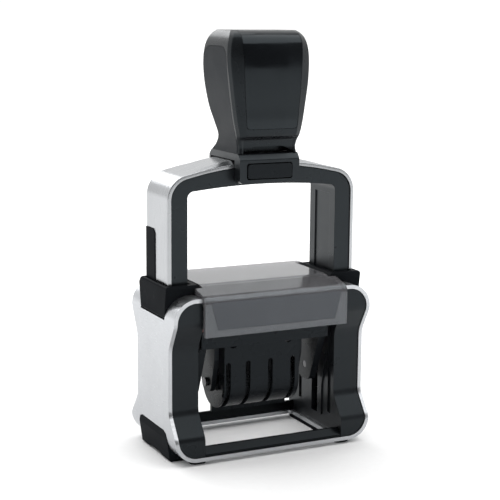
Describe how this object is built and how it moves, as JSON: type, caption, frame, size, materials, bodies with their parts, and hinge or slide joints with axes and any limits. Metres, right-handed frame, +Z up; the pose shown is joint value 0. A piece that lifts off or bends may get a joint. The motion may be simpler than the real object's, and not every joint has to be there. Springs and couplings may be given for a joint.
{
  "type": "rotary date stamp",
  "caption": "Self-inking date stamp: press-down bow with handle, turn-over die carriage with date bands and thumb wheels, ink cartridge and clear index cover in a metal-clad housing.",
  "frame": {"origin": "on the table plane, under the middle of the stamp", "axes": "+X to the right and -Y to the front, facing the setting wheels; +Z up along the stroke of the handle"},
  "size_m": [0.074, 0.0418, 0.1433],
  "materials": {
    "brushed_aluminium": "brushed satin",
    "housing_plastic": "satin",
    "bow_plastic": "satin",
    "soft_grip": "matte",
    "gloss_panel": "gloss",
    "smoke_cover": "gloss",
    "index_card": "matte",
    "text_ink_felt": "felt",
    "date_ink_felt": "felt",
    "steel": "bright",
    "carriage_plastic": "satin",
    "wheel_plastic": "matte",
    "die_rubber": "matte",
    "band_rubber": "matte"
  },
  "bodies": {
    "housing": {"outer_shell": "brushed_aluminium", "side_frame_left": "housing_plastic", "side_frame_right": "housing_plastic", "leg_collar_left": "housing_plastic", "leg_collar_right": "housing_plastic", "foot_clip_left": "housing_plastic", "foot_clip_right": "housing_plastic", "front_sill": "housing_plastic", "rear_sill": "housing_plastic", "top_deck": "housing_plastic", "index_cover": "smoke_cover", "index_card": "index_card"},
    "ink_cartridge": {"ink_tray": "housing_plastic", "ink_felt_text": "text_ink_felt", "ink_felt_date": "date_ink_felt"},
    "bow": {"bow_core": "bow_plastic", "bow_sheet": "brushed_aluminium", "handle_saddle": "bow_plastic", "handle_core": "bow_plastic", "handle_panel": "gloss_panel", "handle_grip_left": "soft_grip", "handle_grip_right": "soft_grip", "bow_strip_left": "bow_plastic", "bow_strip_right": "bow_plastic", "return_spring_left": "steel", "return_spring_right": "steel", "lock_button_spring": "steel"},
    "lock_button": {"lock_button": "bow_plastic"},
    "die_carriage": {"carriage_frame": "carriage_plastic", "text_plate": "die_rubber", "wheel_cover": "carriage_plastic", "band_bridge": "carriage_plastic", "wheel_shaft": "steel", "pivot_pin_left": "steel", "pivot_pin_right": "steel", "cam_pin_left": "steel", "cam_pin_right": "steel", "day_band": "band_rubber", "month_band": "band_rubber", "decade_band": "band_rubber", "year_band": "band_rubber"},
    "day_wheel": {"day_wheel": "wheel_plastic"},
    "month_wheel": {"month_wheel": "wheel_plastic"},
    "decade_wheel": {"decade_wheel": "wheel_plastic"},
    "year_wheel": {"year_wheel": "wheel_plastic"}
  },
  "joints": [
    {"name": "bow_press", "type": "slide", "parent": "housing", "child": "bow", "axis": [0, 0, -1], "range_m": [0, 0.0285], "stiffness_N_per_m": 160, "springref_m": -0.03, "deforming": ["return_spring_left", "return_spring_right"]},
    {"name": "carriage_turn", "type": "hinge", "parent": "bow", "child": "die_carriage", "pos_m": [0, 0, 0.0377], "axis": [1, 0, 0], "range_deg": [0, 180]},
    {"name": "lock_press", "type": "slide", "parent": "bow", "child": "lock_button", "axis": [0, 1, 0], "range_m": [0, 0.0008], "stiffness_N_per_m": 600, "springref_m": -0.001, "deforming": ["lock_button_spring"]},
    {"name": "cartridge_slide", "type": "slide", "parent": "housing", "child": "ink_cartridge", "axis": [0, 1, 0], "range_m": [0, 0.038]},
    {"name": "day_turn", "type": "hinge", "parent": "die_carriage", "child": "day_wheel", "pos_m": [-0.0105, 0, 0.0227], "axis": [1, 0, 0], "continuous": true},
    {"name": "month_turn", "type": "hinge", "parent": "die_carriage", "child": "month_wheel", "pos_m": [-0.0015, 0, 0.0227], "axis": [1, 0, 0], "continuous": true},
    {"name": "decade_turn", "type": "hinge", "parent": "die_carriage", "child": "decade_wheel", "pos_m": [0.005, 0, 0.0227], "axis": [1, 0, 0], "continuous": true},
    {"name": "year_turn", "type": "hinge", "parent": "die_carriage", "child": "year_wheel", "pos_m": [0.01, 0, 0.0227], "axis": [1, 0, 0], "continuous": true}
  ],
  "couplings": [
    {"joint": "carriage_turn", "follows": "bow_press", "rad_per_m": 110.2}
  ]
}
